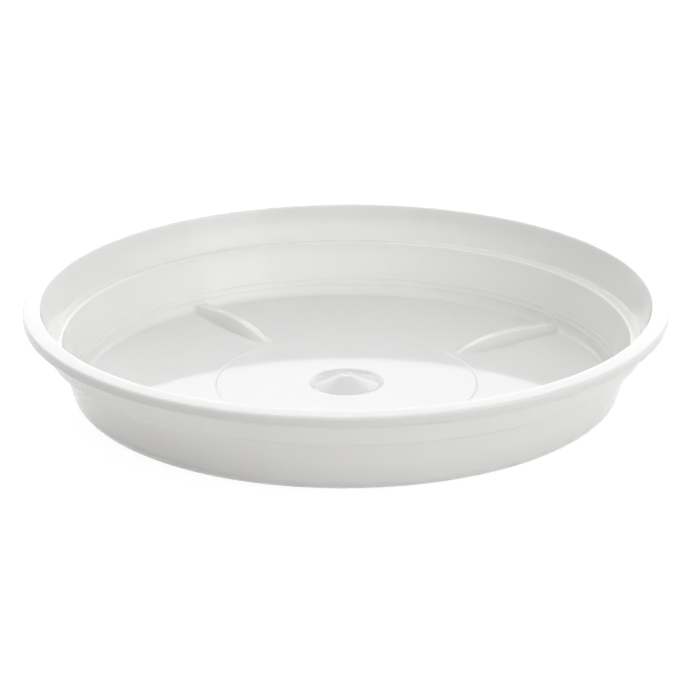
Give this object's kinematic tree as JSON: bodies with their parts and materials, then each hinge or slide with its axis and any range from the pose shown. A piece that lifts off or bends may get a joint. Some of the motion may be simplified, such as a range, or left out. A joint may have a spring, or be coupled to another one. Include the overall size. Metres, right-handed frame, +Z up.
{
  "type": "plant saucer",
  "caption": "Round white plastic plant saucer: a shallow dish with a turned-down rim, a ledge inside its wall, low radial ribs on the floor and a small cone at the centre.",
  "frame": {"origin": "centre of the base, on the surface that the saucer stands on", "axes": "+Z up, out of the open dish; +X and +Y each along a rib of the floor"},
  "size_m": [0.25, 0.25, 0.0368],
  "materials": {
    "white_plastic": "smooth, high gloss"
  },
  "bodies": {
    "root": {"saucer": "white_plastic"}
  },
  "joints": []
}
